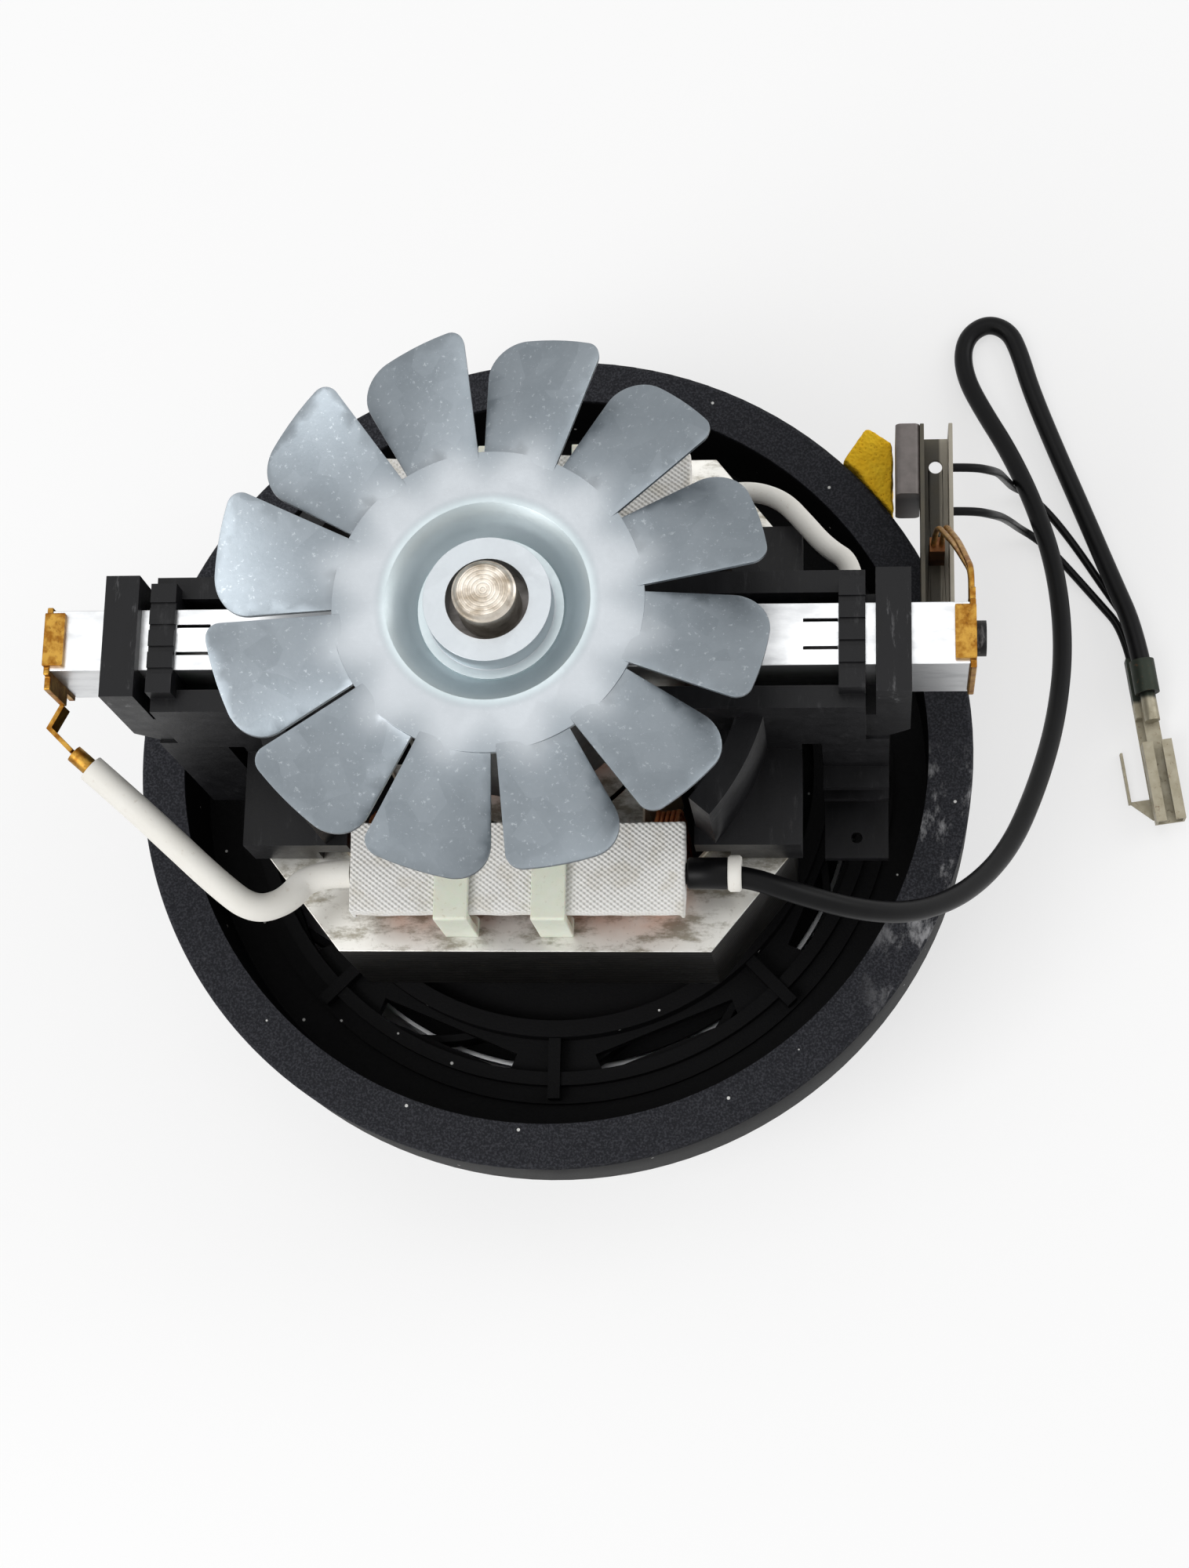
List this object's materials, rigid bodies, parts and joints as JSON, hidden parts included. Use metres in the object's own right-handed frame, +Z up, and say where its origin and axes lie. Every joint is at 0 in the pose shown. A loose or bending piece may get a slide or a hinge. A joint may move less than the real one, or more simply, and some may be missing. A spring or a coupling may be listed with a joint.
{
  "type": "vacuum motor unit",
  "caption": "Through-flow vacuum motor: black bowl housing over a steel fan cover, wound field, brush bracket, cooling fan on top and two loose leads.",
  "frame": {"origin": "centre of the air inlet, on the face of the fan cover that the motor stands on", "axes": "+Z up along the shaft, +X towards the right brush, +Y towards the rear field coil"},
  "size_m": [0.1581, 0.146, 0.1132],
  "materials": {
    "cover_steel": "satin pressed steel",
    "rotor_aluminium": "pressed sheet",
    "black_plastic": "moulded, slightly glossy on the edges",
    "natural_plastic": "nylon",
    "steel": "turned or zinc plated",
    "laminations": "stacked sheets with a varnish film",
    "copper_wire": "enamelled copper",
    "commutator_copper": "turned copper",
    "white_insulation": "woven glass tape",
    "white_sleeve": "silicone",
    "black_sleeve": "soft lead insulation",
    "brass": "bright brass",
    "galvanised": "zinc coated sheet",
    "carbon": "carbon graphite",
    "foam": "mustard foam",
    "liner_film": "slot insulation film",
    "tray_plastic": "dark moulded tray"
  },
  "bodies": {
    "frame": {"inlet_cover": "cover_steel", "diffuser": "black_plastic", "motor_housing": "black_plastic", "housing_screws": "steel", "lower_outer_race": "steel", "upper_outer_race": "steel", "bearing_shields": "steel", "stator_core": "laminations", "slot_liners": "liner_film", "front_coil": "copper_wire", "rear_coil": "copper_wire", "front_coil_tape": "white_insulation", "rear_coil_tape": "white_insulation", "coil_retainers": "natural_plastic", "brush_bracket": "black_plastic", "cap_plug": "black_plastic", "cutout_tray": "tray_plastic", "cutout_rivet": "steel", "cutout_post": "brass", "thermal_cutout": "steel", "cutout_cushion": "foam", "cutout_wires": "brass", "left_white_lead": "white_sleeve", "rear_white_lead": "white_sleeve", "left_brush_terminal": "brass", "long_terminal": "brass", "short_terminal": "brass", "long_lead": "black_sleeve", "short_lead_upper": "black_sleeve", "short_lead_lower": "black_sleeve", "left_brush_tube": "steel", "left_brush_spring": "steel", "left_brush_cap": "brass", "right_brush_tube": "steel", "right_brush_spring": "steel", "right_brush_cap": "brass"},
    "rotor": {"shaft": "steel", "impeller_front_disc": "rotor_aluminium", "impeller_blades": "rotor_aluminium", "impeller_back_disc": "rotor_aluminium", "impeller_washer": "steel", "impeller_nut": "steel", "impeller_spacer": "steel", "lower_inner_race": "steel", "upper_inner_race": "steel", "armature_core": "laminations", "armature_winding": "copper_wire", "commutator": "commutator_copper", "commutator_core": "black_plastic", "cooling_fan": "galvanised", "fan_bush": "brass"},
    "lower_ball_set": {"lower_balls": "steel"},
    "upper_ball_set": {"upper_balls": "steel"},
    "left_brush": {"left_brush": "carbon"},
    "right_brush": {"right_brush": "carbon"}
  },
  "joints": [
    {"name": "rotor_spin", "type": "hinge", "parent": "frame", "child": "rotor", "pos_m": [0, 0, 0.06], "axis": [0, 0, 1], "continuous": true},
    {"name": "lower_balls_roll", "type": "hinge", "parent": "frame", "child": "lower_ball_set", "pos_m": [0, 0, 0.025], "axis": [0, 0, 1], "continuous": true},
    {"name": "upper_balls_roll", "type": "hinge", "parent": "frame", "child": "upper_ball_set", "pos_m": [0, 0, 0.1], "axis": [0, 0, 1], "continuous": true},
    {"name": "left_brush_wear", "type": "slide", "parent": "frame", "child": "left_brush", "axis": [-1, 0, 0], "range_m": [0, 0.008], "stiffness_N_per_m": 150, "springref_m": -0.012, "deforming": ["left_brush_spring"]},
    {"name": "right_brush_wear", "type": "slide", "parent": "frame", "child": "right_brush", "axis": [1, 0, 0], "range_m": [0, 0.008], "stiffness_N_per_m": 150, "springref_m": -0.012, "deforming": ["right_brush_spring"]}
  ],
  "couplings": [
    {"joint": "lower_balls_roll", "follows": "rotor_spin", "ratio": 0.3871},
    {"joint": "upper_balls_roll", "follows": "rotor_spin", "ratio": 0.3871}
  ]
}
